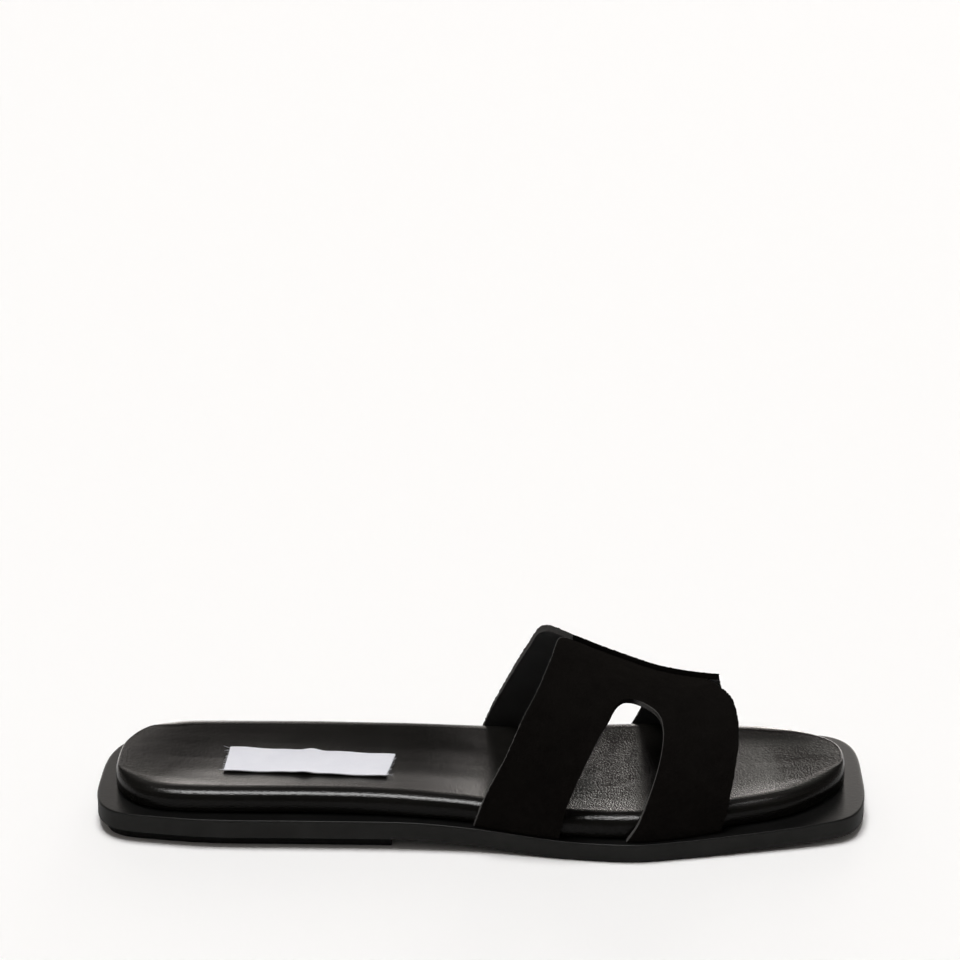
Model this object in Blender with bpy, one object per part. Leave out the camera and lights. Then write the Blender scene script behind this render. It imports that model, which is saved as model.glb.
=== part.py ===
"""A slide sandal for the right foot: a thin outsole on a heel lift, a padded footbed, and an upper of
two crossing panels. Metres, +X towards the toe, +Y towards the big toe's side, +Z up, floor at z = 0.
"""
import math

import bmesh
import bpy
from mathutils import Vector

# Driving sizes, in metres
LENGTH = 0.2600
BALL_WIDTH = 0.0900
OUTSOLE_THICKNESS = 0.0062
OUTSOLE_EDGE_ROUND = 0.0005
LIFT_HEIGHT = 0.0034
LIFT_INSET = 0.0026
TOE_SPRING = 0.0026
FOOTBED_HEIGHT = 0.0073
FOOTBED_EDGE_ROLL = 0.0034
FOOTBED_DISH = 0.0018
WALL = 0.0021
STRAP_HEIGHT = 0.0536
STRAP_GAP = 0.0005
OVERLAY_SINK = 0.0005
LABEL_LENGTH = 0.0560
LABEL_WIDTH = 0.0180
LABEL_THICKNESS = 0.0005
CLEARANCE = 0.0003

# How finely the curves are cut
SIDE_STEPS = 30
END_STEPS = 9
RUNG_STEPS = 3
ACROSS_STEPS = 10
LABEL_LONG_STEPS = 12
LABEL_WIDE_STEPS = 6
SMOOTH_BELOW = math.radians(40)
MERGE_DISTANCE = 0.000001

# Outline of the outsole. along: share of LENGTH from the heel end. near, far: the two sides' distances
# from the X axis, as shares of BALL_WIDTH. The near side is the little toe's.
OUTSOLE_SIDES = (
    # along, near, far
    (0.000, -0.309, 0.336),
    (0.050, -0.325, 0.397),
    (0.145, -0.369, 0.418),
    (0.270, -0.381, 0.412),
    (0.395, -0.392, 0.404),
    (0.490, -0.414, 0.412),
    (0.545, -0.441, 0.430),
    (0.612, -0.478, 0.460),
    (0.690, -0.500, 0.490),
    (0.755, -0.472, 0.500),
    (0.825, -0.431, 0.484),
    (0.905, -0.381, 0.454),
    (0.965, -0.331, 0.412),
    (1.000, -0.292, 0.379),
)
OUTSOLE_ENDS = {"heel": (0.075, 3.3), "toe": (0.062, 3.6)}

# Outline of the footbed, in the same columns and shares
FOOTBED_SIDES = (
    # along, near, far
    (0.019, -0.249, 0.290),
    (0.060, -0.288, 0.352),
    (0.145, -0.309, 0.362),
    (0.270, -0.317, 0.357),
    (0.345, -0.328, 0.346),
    (0.420, -0.350, 0.339),
    (0.490, -0.366, 0.350),
    (0.545, -0.399, 0.370),
    (0.612, -0.434, 0.399),
    (0.690, -0.450, 0.420),
    (0.755, -0.416, 0.420),
    (0.825, -0.354, 0.394),
    (0.905, -0.287, 0.356),
    (0.980, -0.197, 0.279),
)
FOOTBED_ENDS = {"heel": (0.120, 2.55), "toe": (0.125, 2.35)}

# Where the underside leaves the heel's level, reaches the floor, leaves it again (shares of LENGTH)
HEEL_LEVEL_ENDS = 0.385
FLAT_BEGINS = 0.625
FLAT_ENDS = 0.720
TOE_SKEW = 0.055
TOE_SPRING_POWER = 1.6
# How far from its two ends the middle line of a top stops, as shares of BALL_WIDTH
OUTSOLE_MIDDLE_STOPS = 0.30
FOOTBED_MIDDLE_STOPS = 0.26

# Rolled side of the footbed. inward: share of FOOTBED_EDGE_ROLL. up: share of FOOTBED_HEIGHT.
FOOTBED_WALL = (
    # inward, up
    (0.14, 0.00),
    (0.00, 0.22),
    (0.04, 0.56),
    (0.18, 0.76),
    (0.50, 0.89),
    (0.95, 0.97),
    (1.50, 1.00),
    (2.03, 0.985),
)
# Its dished top. inwards: share of the way from the edge roll to the middle line. down: share of the dish.
FOOTBED_TOP = (
    # inwards, down
    (0.25, 0.42),
    (0.60, 0.86),
    (1.00, 1.00),
)

# Height of the upper's arch over the sole. along: share of LENGTH. height: share of STRAP_HEIGHT.
ARCH = (
    # along, height
    (0.470, 1.135),
    (0.580, 1.020),
    (0.618, 0.940),
    (0.655, 0.858),
    (0.690, 0.785),
    (0.724, 0.716),
    (0.755, 0.671),
    (0.797, 0.632),
    (0.850, 0.608),
)

# The panel on the little toe's side, as rungs of a ribbon bent round its cut-out. Each rung runs from
# the panel's outer edge to the cut-out's. along: share of LENGTH. turn: share of the half turn over the
# foot, from 0 where the panel's own side meets the sole to 1 on the other side.
UNDER_PANEL = (
    # outer along, outer turn, inner along, inner turn
    (0.4890, 0.000, 0.5960, 0.000),
    (0.5055, 0.065, 0.6040, 0.058),
    (0.5285, 0.138, 0.6175, 0.118),
    (0.5495, 0.220, 0.6345, 0.186),
    (0.5700, 0.300, 0.6480, 0.243),
    (0.5850, 0.385, 0.6590, 0.286),
    (0.5920, 0.445, 0.6655, 0.318),
    (0.5965, 0.495, 0.6705, 0.338),
    (0.6015, 0.535, 0.6745, 0.350),
    (0.6110, 0.572, 0.6790, 0.360),
    (0.6280, 0.608, 0.6850, 0.367),
    (0.6600, 0.640, 0.6920, 0.371),
    (0.7150, 0.662, 0.7020, 0.371),
    (0.7600, 0.660, 0.7100, 0.367),
    (0.7870, 0.630, 0.7170, 0.360),
    (0.7985, 0.580, 0.7220, 0.350),
    (0.8085, 0.520, 0.7265, 0.333),
    (0.8200, 0.460, 0.7285, 0.300),
    (0.8250, 0.400, 0.7280, 0.275),
    (0.8268, 0.335, 0.7260, 0.245),
    (0.8250, 0.262, 0.7225, 0.210),
    (0.8205, 0.200, 0.7175, 0.172),
    (0.8160, 0.145, 0.7110, 0.131),
    (0.8100, 0.080, 0.7020, 0.080),
    (0.8010, 0.000, 0.6870, 0.000),
)
# The panel on the big toe's side, which lies on top, with sharper corners and a straight free edge
OVER_PANEL = (
    # outer along, outer turn, inner along, inner turn
    (0.4940, 0.000, 0.6020, 0.000),
    (0.5110, 0.065, 0.6100, 0.058),
    (0.5330, 0.138, 0.6215, 0.110),
    (0.5530, 0.220, 0.6350, 0.162),
    (0.5690, 0.300, 0.6460, 0.205),
    (0.5795, 0.352, 0.6560, 0.243),
    (0.5885, 0.388, 0.6640, 0.270),
    (0.6000, 0.406, 0.6705, 0.287),
    (0.6150, 0.411, 0.6765, 0.299),
    (0.6400, 0.406, 0.6830, 0.308),
    (0.6800, 0.394, 0.6930, 0.314),
    (0.7350, 0.381, 0.7050, 0.315),
    (0.7820, 0.377, 0.7150, 0.310),
    (0.8050, 0.375, 0.7230, 0.300),
    (0.8120, 0.366, 0.7285, 0.286),
    (0.8135, 0.340, 0.7325, 0.265),
    (0.8160, 0.295, 0.7345, 0.240),
    (0.8195, 0.250, 0.7325, 0.210),
    (0.8200, 0.200, 0.7270, 0.172),
    (0.8160, 0.145, 0.7195, 0.130),
    (0.8100, 0.080, 0.7085, 0.080),
    (0.8010, 0.000, 0.6940, 0.000),
)
# Turns, on the over panel's own side, between which it climbs onto the under panel
CLIMB_BEGINS = 0.250
CLIMB_ENDS = 0.335

# The label's middle as shares of LENGTH and BALL_WIDTH, and how far it is turned
LABEL_ALONG = 0.273
LABEL_ACROSS = -0.034
LABEL_TURN = math.radians(-4.5)

HEEL_X = -LENGTH / 2

MATERIALS = {
    # name: base colour, roughness, metallic
    "outsole rubber": ((0.020, 0.020, 0.021), 0.62, 0.0),
    "lift rubber": ((0.012, 0.012, 0.012), 0.75, 0.0),
    "footbed leather": ((0.026, 0.025, 0.024), 0.42, 0.0),
    "suede": ((0.006, 0.006, 0.007), 0.95, 0.0),
    "woven label": ((0.78, 0.79, 0.81), 0.85, 0.0),
}


def along_x(share):
    """X of a share of the length from the heel end."""
    return HEEL_X + share * LENGTH


def smooth(value, low, high):
    """0 below low, 1 above high, and an S between them."""
    share = min(max((value - low) / (high - low), 0.0), 1.0)
    return share * share * (3 - 2 * share)


def read_table(rows, column, value):
    """A column of a table at a value of its first column, on a smooth curve through the rows."""
    last = len(rows) - 2
    index = next((i for i in range(last) if value < rows[i + 1][0]), last)
    before, low = rows[max(index - 1, 0)], rows[index]
    high, after = rows[index + 1], rows[min(index + 2, len(rows) - 1)]
    span = high[0] - low[0]
    share = min(max((value - low[0]) / span, 0.0), 1.0)
    low_slope = (high[column] - before[column]) / (high[0] - before[0]) * span
    high_slope = (after[column] - low[column]) / (after[0] - low[0]) * span
    square, cube = share * share, share ** 3
    return (low[column] * (2 * cube - 3 * square + 1) + high[column] * (3 * square - 2 * cube)
            + low_slope * (cube - 2 * square + share) + high_slope * (cube - square))


def side_y(sides, column, x):
    """Y of one side of an outline, before its ends are rounded."""
    return read_table(sides, column, (x - HEEL_X) / LENGTH) * BALL_WIDTH


def outline(sides, ends):
    """An outline's points: the near side from heel to toe, then the far side back to the heel."""
    heel_depth, heel_power = ends["heel"][0] * LENGTH, ends["heel"][1]
    toe_depth, toe_power = ends["toe"][0] * LENGTH, ends["toe"][1]
    heel_end, toe_end = along_x(sides[0][0]), along_x(sides[-1][0])
    stations = []
    for step in range(END_STEPS):
        angle = math.pi / 2 * (step + 0.5) / END_STEPS
        stations.append((heel_end + heel_depth * (1 - math.cos(angle) ** (2 / heel_power)),
                         math.sin(angle) ** (2 / heel_power), 0.0))
    straight = toe_end - toe_depth - heel_end - heel_depth
    for step in range(SIDE_STEPS + 1):
        stations.append((heel_end + heel_depth + straight * step / SIDE_STEPS, 1.0, 0.0))
    for step in reversed(range(END_STEPS)):
        angle = math.pi / 2 * (step + 0.5) / END_STEPS
        stations.append((toe_end - toe_depth * (1 - math.cos(angle) ** (2 / toe_power)),
                         math.sin(angle) ** (2 / toe_power), math.cos(angle)))
    loops = {1: [], 2: []}
    for x, width, skew in stations:
        middle = (side_y(sides, 1, x) + side_y(sides, 2, x)) / 2
        for column, loop in loops.items():
            across = (side_y(sides, column, x) - middle) * width
            loop.append(Vector((x + TOE_SKEW * skew * across, middle + across, 0)))
    return loops[1] + loops[2][::-1]


def inset_loop(loop, distance):
    """The loop with every point moved inwards, square to the loop."""
    count = len(loop)
    moved = []
    for index, point in enumerate(loop):
        run = loop[(index + 1) % count] - loop[index - 1]
        moved.append(point + Vector((-run.y, run.x, 0)).normalized() * distance)
    return moved


def middle_line(loop, sides, reach):
    """For each point of a loop, the point of the middle line that it runs in to."""
    low = along_x(sides[0][0]) + reach
    high = along_x(sides[-1][0]) - reach
    count = len(loop)
    line = []
    for index, point in enumerate(loop):
        x = (point.x + loop[count - 1 - index].x) / 2
        x = min(max(x, low), high)
        y = (side_y(sides, 1, x) + side_y(sides, 2, x)) / 2
        line.append(Vector((x, y, 0)))
    return line


def underside(x):
    """Height of the outsole's underside over the floor."""
    heel = LIFT_HEIGHT * (1 - smooth(x, along_x(HEEL_LEVEL_ENDS), along_x(FLAT_BEGINS)))
    spring = max(x - along_x(FLAT_ENDS), 0.0) / (LENGTH * (1 - FLAT_ENDS))
    return heel + TOE_SPRING * spring ** TOE_SPRING_POWER


def sole_top(x):
    """Height of the outsole's upper face over the floor."""
    return underside(x) + OUTSOLE_THICKNESS


def lifted(points, height):
    """The points raised to a height that may depend on x."""
    return [Vector((point.x, point.y, height(point.x))) for point in points]


def add_object(name, mesh_maker, material):
    """A mesh object with its own material, its faces pointing out."""
    mesh = bpy.data.meshes.new(name)
    form = bmesh.new()
    mesh_maker(form)
    bmesh.ops.remove_doubles(form, verts=form.verts, dist=MERGE_DISTANCE)
    bmesh.ops.dissolve_degenerate(form, edges=form.edges, dist=MERGE_DISTANCE)
    bmesh.ops.recalc_face_normals(form, faces=form.faces)
    form.to_mesh(mesh)
    form.free()
    mesh.shade_smooth()
    mesh.set_sharp_from_angle(angle=SMOOTH_BELOW)
    made = bpy.data.objects.new(name, mesh)
    bpy.context.collection.objects.link(made)
    colour, roughness, metallic = MATERIALS[material]
    finish = bpy.data.materials.get(material) or bpy.data.materials.new(material)
    finish.use_nodes = True
    shader = finish.node_tree.nodes["Principled BSDF"]
    shader.inputs["Base Color"].default_value = (*colour, 1)
    shader.inputs["Roughness"].default_value = roughness
    shader.inputs["Metallic"].default_value = metallic
    mesh.materials.append(finish)
    return made


def skin_rings(form, rings):
    """Faces between each closed ring of points and the next."""
    rows = [[form.verts.new(point) for point in ring] for ring in rings]
    for low, high in zip(rows, rows[1:]):
        count = len(low)
        for index in range(count):
            after = (index + 1) % count
            form.faces.new((low[index], low[after], high[after], high[index]))
    return rows


def slab_rings(loop, middle, bottom, top, round_by):
    """Rings round a slab, from its underside's middle line, over its edge, to its top's middle line."""
    inner = inset_loop(loop, round_by)
    halfway = [point.lerp(centre, 0.5) for point, centre in zip(inner, middle)]
    return [
        lifted(middle, bottom),
        lifted(halfway, bottom),
        lifted(inner, bottom),
        lifted(loop, lambda x: bottom(x) + round_by),
        lifted(loop, lambda x: top(x) - round_by),
        lifted(inner, top),
        lifted(halfway, top),
        lifted(middle, top),
    ]


def make_outsole(form):
    loop = outline(OUTSOLE_SIDES, OUTSOLE_ENDS)
    middle = middle_line(loop, OUTSOLE_SIDES, BALL_WIDTH * OUTSOLE_MIDDLE_STOPS)
    skin_rings(form, slab_rings(loop, middle, underside, sole_top, OUTSOLE_EDGE_ROUND))


def make_heel_lift(form):
    """A flat layer under the heel, set in from the outsole's edge and cut straight across in front."""
    loop = inset_loop(outline(OUTSOLE_SIDES, OUTSOLE_ENDS), LIFT_INSET)
    half = len(loop) // 2
    front = along_x(HEEL_LEVEL_ENDS)
    near = [point for point in loop[:half] if point.x < front]
    far = [point for point in reversed(loop[half:]) if point.x < front]
    near.append(Vector((front, side_y(OUTSOLE_SIDES, 1, front) + LIFT_INSET, 0)))
    far.append(Vector((front, side_y(OUTSOLE_SIDES, 2, front) - LIFT_INSET, 0)))
    ring = near + far[::-1]
    top = LIFT_HEIGHT - CLEARANCE
    rows = skin_rings(form, [lifted(ring, lambda x: 0.0), lifted(ring, lambda x: top)])
    form.faces.new(rows[0][::-1])
    form.faces.new(rows[1])
    bmesh.ops.triangulate(form, faces=[face for face in form.faces if len(face.verts) > 4])


def footbed_base(x):
    return sole_top(x) + CLEARANCE


def footbed_loops():
    """The footbed's outline, and the middle line that it runs in to."""
    loop = outline(FOOTBED_SIDES, FOOTBED_ENDS)
    return loop, middle_line(loop, FOOTBED_SIDES, BALL_WIDTH * FOOTBED_MIDDLE_STOPS)


def make_footbed(form):
    loop, middle = footbed_loops()
    rings = [lifted(middle, footbed_base)]
    for inward, up in FOOTBED_WALL:
        ring = inset_loop(loop, inward * FOOTBED_EDGE_ROLL)
        rings.append(lifted(ring, lambda x, up=up: footbed_base(x) + up * FOOTBED_HEIGHT))
    shoulder = inset_loop(loop, FOOTBED_WALL[-1][0] * FOOTBED_EDGE_ROLL)
    rim = FOOTBED_WALL[-1][1] * FOOTBED_HEIGHT
    for inwards, down in FOOTBED_TOP:
        ring = [point.lerp(centre, inwards) for point, centre in zip(shoulder, middle)]
        rings.append(lifted(ring, lambda x, down=down: footbed_base(x) + rim - down * FOOTBED_DISH))
    skin_rings(form, rings)


def arch_point(along, turn, outward, mirrored):
    """A point of the upper's surface: along the shoe, round the foot, and outward from the wall's middle."""
    x = along_x(along)
    near = side_y(FOOTBED_SIDES, 1, x) - STRAP_GAP - WALL / 2
    far = side_y(FOOTBED_SIDES, 2, x) + STRAP_GAP + WALL / 2
    side = 1 if mirrored else -1
    angle = math.pi * turn
    height = read_table(ARCH, 1, along) * STRAP_HEIGHT + outward
    y = (near + far) / 2 + side * ((far - near) / 2 + outward) * math.cos(angle)
    return Vector((x, y, sole_top(x) + CLEARANCE + height * math.sin(angle)))


def spline(rows, steps):
    """Rows of numbers on a smooth curve through the given rows, with steps between each two."""
    result = []
    for index in range(len(rows) - 1):
        before, low = rows[max(index - 1, 0)], rows[index]
        high, after = rows[index + 1], rows[min(index + 2, len(rows) - 1)]
        for step in range(steps):
            share = step / steps
            square, cube = share * share, share ** 3
            result.append([
                0.5 * (2 * b + (c - a) * share + (2 * a - 5 * b + 4 * c - d) * square
                       + (3 * b - a - 3 * c + d) * cube)
                for a, b, c, d in zip(before, low, high, after)])
    result.append(list(rows[-1]))
    return result


def climb(turn, lift):
    """How far the over panel stands out from the arch, so that it lies on the under panel."""
    return lift * smooth(turn, CLIMB_BEGINS, CLIMB_ENDS)


def make_panel(form, rungs, lift, mirrored):
    """One panel of the upper as a closed sheet with its wall's thickness."""
    sheets = {-1: [], 1: []}
    for outer_along, outer_turn, inner_along, inner_turn in spline(rungs, RUNG_STEPS):
        for side, rows in sheets.items():
            row = []
            for step in range(ACROSS_STEPS + 1):
                share = step / ACROSS_STEPS
                along = outer_along + (inner_along - outer_along) * share
                turn = outer_turn + (inner_turn - outer_turn) * share
                outward = climb(turn, lift) + side * WALL / 2
                row.append(form.verts.new(arch_point(along, max(turn, 0.0), outward, mirrored)))
            rows.append(row)
    inner, outer = sheets[-1], sheets[1]
    for sheet in (inner, outer):
        for low, high in zip(sheet, sheet[1:]):
            for step in range(ACROSS_STEPS):
                form.faces.new((low[step], low[step + 1], high[step + 1], high[step]))
    borders = (
        ([row[0] for row in inner], [row[0] for row in outer]),
        ([row[-1] for row in inner], [row[-1] for row in outer]),
        (inner[0], outer[0]),
        (inner[-1], outer[-1]),
    )
    for low, high in borders:
        for index in range(len(low) - 1):
            form.faces.new((low[index], low[index + 1], high[index + 1], high[index]))


def make_upper():
    """The two panels, joined where they cross."""
    lift = WALL - OVERLAY_SINK
    upper = add_object("upper", lambda form: make_panel(form, UNDER_PANEL, 0.0, False), "suede")
    over = add_object("over_panel", lambda form: make_panel(form, OVER_PANEL, lift, True), "suede")
    over.hide_render = True
    over.display_type = "WIRE"
    union = upper.modifiers.new("crossing", "BOOLEAN")
    union.operation = "UNION"
    union.solver = "EXACT"
    union.object = over


def footbed_top(point, loop, middle):
    """Height of the footbed's dished top at a point, from how far it lies between edge and middle line."""
    nearest = min(range(len(loop)), key=lambda i: abs(loop[i].x - point.x) + (
        LENGTH if (loop[i].y - middle[i].y) * (point.y - middle[i].y) < 0 else 0))
    edge = abs(loop[nearest].y - middle[nearest].y) - FOOTBED_WALL[-1][0] * FOOTBED_EDGE_ROLL
    inwards = 1 - abs(point.y - middle[nearest].y) / edge
    rows = ((0.0, 0.0), *FOOTBED_TOP)
    place = next(i for i in range(len(rows) - 1) if inwards <= rows[i + 1][0])
    low, high = rows[place], rows[place + 1]
    down = low[1] + (high[1] - low[1]) * (inwards - low[0]) / (high[0] - low[0])
    return footbed_base(point.x) + FOOTBED_WALL[-1][1] * FOOTBED_HEIGHT - down * FOOTBED_DISH


def make_label(form):
    """A thin woven strip laid on the footbed's dished top."""
    loop, middle = footbed_loops()
    sheets = {0: [], 1: []}
    for i in range(LABEL_LONG_STEPS + 1):
        for layer, rows in sheets.items():
            row = []
            for j in range(LABEL_WIDE_STEPS + 1):
                u = (i / LABEL_LONG_STEPS - 0.5) * LABEL_LENGTH
                v = (j / LABEL_WIDE_STEPS - 0.5) * LABEL_WIDTH
                x = along_x(LABEL_ALONG) + u * math.cos(LABEL_TURN) - v * math.sin(LABEL_TURN)
                y = LABEL_ACROSS * BALL_WIDTH + u * math.sin(LABEL_TURN) + v * math.cos(LABEL_TURN)
                z = footbed_top(Vector((x, y, 0)), loop, middle) + CLEARANCE + layer * LABEL_THICKNESS
                row.append(form.verts.new((x, y, z)))
            rows.append(row)
    for sheet in sheets.values():
        for low, high in zip(sheet, sheet[1:]):
            for j in range(LABEL_WIDE_STEPS):
                form.faces.new((low[j], low[j + 1], high[j + 1], high[j]))
    under, over = sheets[0], sheets[1]
    for low, high in (([row[0] for row in under], [row[0] for row in over]),
                      ([row[-1] for row in under], [row[-1] for row in over]),
                      (under[0], over[0]), (under[-1], over[-1])):
        for index in range(len(low) - 1):
            form.faces.new((low[index], low[index + 1], high[index + 1], high[index]))


def main():
    for old in list(bpy.data.objects):
        bpy.data.objects.remove(old)
    add_object("outsole", make_outsole, "outsole rubber")
    add_object("heel_lift", make_heel_lift, "lift rubber")
    add_object("footbed", make_footbed, "footbed leather")
    make_upper()
    add_object("label", make_label, "woven label")


main()
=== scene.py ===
# %% [markdown]
# A black slide sandal, made in cells. The imported model is the frame: it holds the true sizes of the
# outsole, heel lift, footbed, upper and label, and every piece below is laid over one of them. The frame
# is loaded first.

# %% Load the frame
import math
import random

import bmesh
import bpy
from mathutils import Matrix, Vector, noise


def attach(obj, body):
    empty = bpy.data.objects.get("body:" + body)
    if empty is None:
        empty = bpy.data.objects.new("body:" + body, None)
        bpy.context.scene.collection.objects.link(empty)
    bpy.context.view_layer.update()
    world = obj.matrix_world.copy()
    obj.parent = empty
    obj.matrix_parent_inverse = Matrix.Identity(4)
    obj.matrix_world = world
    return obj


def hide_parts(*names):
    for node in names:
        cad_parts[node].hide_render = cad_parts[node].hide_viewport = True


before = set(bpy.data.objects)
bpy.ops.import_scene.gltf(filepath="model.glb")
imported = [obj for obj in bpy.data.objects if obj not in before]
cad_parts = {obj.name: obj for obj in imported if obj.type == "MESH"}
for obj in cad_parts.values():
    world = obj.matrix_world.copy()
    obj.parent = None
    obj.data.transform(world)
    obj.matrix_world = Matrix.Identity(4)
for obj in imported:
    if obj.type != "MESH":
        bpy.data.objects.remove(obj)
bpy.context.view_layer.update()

print("nodes:", sorted(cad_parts))

# %% [markdown]
# The sizes of the sandal are few, and everything else is a share of them. They are the frame's own:
# the length and the width at the ball set the outlines, and the thicknesses are real ones.

# %% Driving sizes, in metres
LENGTH = 0.2600
BALL_WIDTH = 0.0900
OUTSOLE_THICKNESS = 0.0062
LIFT_HEIGHT = 0.0034
TOE_SPRING = 0.0026
FOOTBED_HEIGHT = 0.0073
EDGE_ROLL = 0.0034
DISH = 0.0016
WALL = 0.0021
STRAP_HEIGHT = 0.0536
STRAP_GAP = 0.0005
OVERLAY_SINK = 0.0002
CLEARANCE = 0.0003
HEEL_X = -LENGTH / 2
TOE_SKEW = 0.055
MM = 0.001

# %% [markdown]
# The camera stands where the photographer's did: a long lens, low in front of the little toe's side,
# aimed a little above the sandal so that it lies in the lower part of the picture. The focal length
# comes from how the two ends of the sole converge, and no shift is needed.

# %% Camera
SENSOR = 36.0
FOCAL_PIXELS = 2616.0
PICTURE_PIXELS = 960
CAMERA_PLACE = (-0.00075, -0.81158, 0.39236)
CAMERA_PITCH = math.radians(18.78)

camera_data = bpy.data.cameras.new("camera")
camera_data.sensor_width = SENSOR
camera_data.lens = SENSOR * FOCAL_PIXELS / PICTURE_PIXELS
camera = bpy.data.objects.new("camera", camera_data)
camera.location = CAMERA_PLACE
camera.rotation_euler = (math.pi / 2 - CAMERA_PITCH, 0, 0)
bpy.context.collection.objects.link(camera)
bpy.context.scene.camera = camera
print("lens:", round(camera_data.lens, 1), "mm")

# %% [markdown]
# Finishes and light are written as sums. A small class wraps one output of a node, so that 1 - mask
# or grain * 0.3 adds the Math nodes for us, and one method makes every other kind of node from its
# settings and its inputs. Numbers that are the same all over go straight onto the shader.

# %% A way of writing shader sums


class Signal:
    """One output of a node, which sums can be written with."""

    def __init__(self, board, socket):
        self.board = board
        self.socket = socket

    def math(self, operation, first, second):
        return self.board.node("ShaderNodeMath", {"operation": operation}, {0: first, 1: second})["Value"]

    def __add__(self, other):
        return self.math("ADD", self, other)

    def __radd__(self, other):
        return self.math("ADD", other, self)

    def __sub__(self, other):
        return self.math("SUBTRACT", self, other)

    def __rsub__(self, other):
        return self.math("SUBTRACT", other, self)

    def __mul__(self, other):
        return self.math("MULTIPLY", self, other)

    def __rmul__(self, other):
        return self.math("MULTIPLY", other, self)

    def __truediv__(self, other):
        return self.math("DIVIDE", self, other)

    def __rtruediv__(self, other):
        return self.math("DIVIDE", other, self)

    def __pow__(self, other):
        return self.math("POWER", self, other)

    def __rpow__(self, other):
        return self.math("POWER", other, self)

    def __abs__(self):
        return self.math("ABSOLUTE", self, 0.0)


class Outputs:
    """A new node's outputs, by name or by number, each as a Signal."""

    def __init__(self, board, made):
        self.board = board
        self.made = made

    def __getitem__(self, key):
        return Signal(self.board, self.made.outputs[key])


class Board:
    """A node tree that is being wired."""

    def __init__(self, tree):
        self.tree = tree

    def node(self, kind, settings=None, inputs=None):
        """A node of a kind: its settings first, a ramp's stops among them, then its sockets."""
        made = self.tree.nodes.new(kind)
        for key, value in (settings or {}).items():
            if key == "stops":
                ramp = made.color_ramp
                while len(ramp.elements) < len(value):
                    ramp.elements.new(0.5)
                for stop, (position, tone) in zip(ramp.elements, value):
                    stop.position = position
                    stop.color = (*tone, 1) if hasattr(tone, "__len__") else (tone, tone, tone, 1)
            else:
                setattr(made, key, value)
        for key, value in (inputs or {}).items():
            self.feed(made.inputs[key], value)
        return Outputs(self, made)

    def feed(self, socket, value):
        if isinstance(value, Signal):
            self.tree.links.new(value.socket, socket)
        else:
            socket.default_value = value

    def ramp(self, value, *stops):
        return self.node("ShaderNodeValToRGB", {"stops": stops}, {"Fac": value})["Color"]

    def soft_step(self, value, low, high):
        """0 where the value is below low, 1 above high, the other way round where high is less."""
        return self.node("ShaderNodeMapRange", {"interpolation_type": "SMOOTHSTEP"},
                         {"Value": value, "From Min": low, "From Max": high})["Result"]


class Finish(Board):
    """A material under construction: one Principled shader and the nodes that feed it."""

    def __init__(self, name, **constants):
        self.material = bpy.data.materials.new(name)
        self.material.use_nodes = True
        super().__init__(self.material.node_tree)
        self.shader = self.tree.nodes["Principled BSDF"]
        for socket, value in constants.items():
            self.shader.inputs[socket.replace("_", " ")].default_value = value

    def set(self, name, value):
        """Feeds one of the shader's own sockets."""
        self.feed(self.shader.inputs[name], value)

    def place(self, scale=(1, 1, 1), turn=(0, 0, 0)):
        """Object coordinates in metres, stretched and turned."""
        coordinates = self.node("ShaderNodeTexCoord")["Object"]
        return self.node("ShaderNodeMapping", None,
                         {"Vector": coordinates, "Scale": scale, "Rotation": turn})["Vector"]

    def noise(self, size, detail=2.0, roughness=0.5, where=None):
        """Noise whose blotches are about this size, in metres, from 0 to 1."""
        return self.node("ShaderNodeTexNoise", None, {
            "Vector": where or self.place(), "Scale": 1 / size, "Detail": detail,
            "Roughness": roughness})["Fac"]

    def cells(self, size, where=None):
        """Rounded cells of this size in metres: 0 in their middles, up to about 1 between them."""
        return self.node("ShaderNodeTexVoronoi", {"feature": "SMOOTH_F1"}, {
            "Vector": where or self.place(), "Scale": 1 / size, "Smoothness": 0.35})["Distance"]

    def blend(self, share, first, second):
        """One colour turning into another."""
        return self.node("ShaderNodeMix", {"data_type": "RGBA"}, {0: share, 6: first, 7: second})[2]

    def bump(self, height, depth, under=None):
        """Relief of this depth in metres, on top of another relief."""
        inputs = {"Height": height, "Distance": depth, "Strength": 1.0}
        if under is not None:
            inputs["Normal"] = under
        return self.node("ShaderNodeBump", None, inputs)["Normal"]


def colour(red, green, blue):
    return (red, green, blue, 1)


print("shader sums are ready")

# %% [markdown]
# The light is a white room with one large soft lamp overhead. Black leather shows little colour of its
# own, so what gives it form is what it mirrors: the bright room low at the back, the dark above that,
# and the lamp, which draws the line along the padded edge. Both are painted on the world by direction,
# since a lamp that is far away lights a white sweep evenly, right to the top of the picture.

# %% Light
ROOM = 0.81
DARK = 0.03
FRONT_FILL = 0.15
BEHIND = (-0.20, 0.40)
WALL_FADE = (0.58, -0.10)
WARM_WALLS = (1.00, 0.945, 0.895, 1)
# a spread: where a brighter part of the room begins, is full, ends to be full, and ends
RIGHT_SIDE, RIGHT_SPREAD = 14.0, (0.065, 0.125, 0.20, 0.60)
LEFT_SIDE, LEFT_SPREAD = 5.2, (-0.045, -0.145, -0.30, -0.80)
PANEL, PANEL_HEIGHTS = 0.15, (0.30, 0.46, 0.84, 0.92)
RIGHT_PANEL_SPREAD = (0.08, 0.20, 0.40, 0.60)
LEFT_PANEL_SPREAD = (-0.06, -0.20, -0.40, -0.70)
# the lamp is a soft square on a flat ceiling, and its places are shares of the ceiling's height
LAMP = 17.0
LAMP_AIM = (-0.06, 0.15)
LAMP_HALF = (0.21, 0.20)
LAMP_BLUR = 0.05
CEILING_BEGINS = (0.40, 0.45)
world = bpy.data.worlds.new("white room")
bpy.context.scene.world = world
world.use_nodes = True
room = Board(world.node_tree)
room.tree.nodes.clear()


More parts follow.
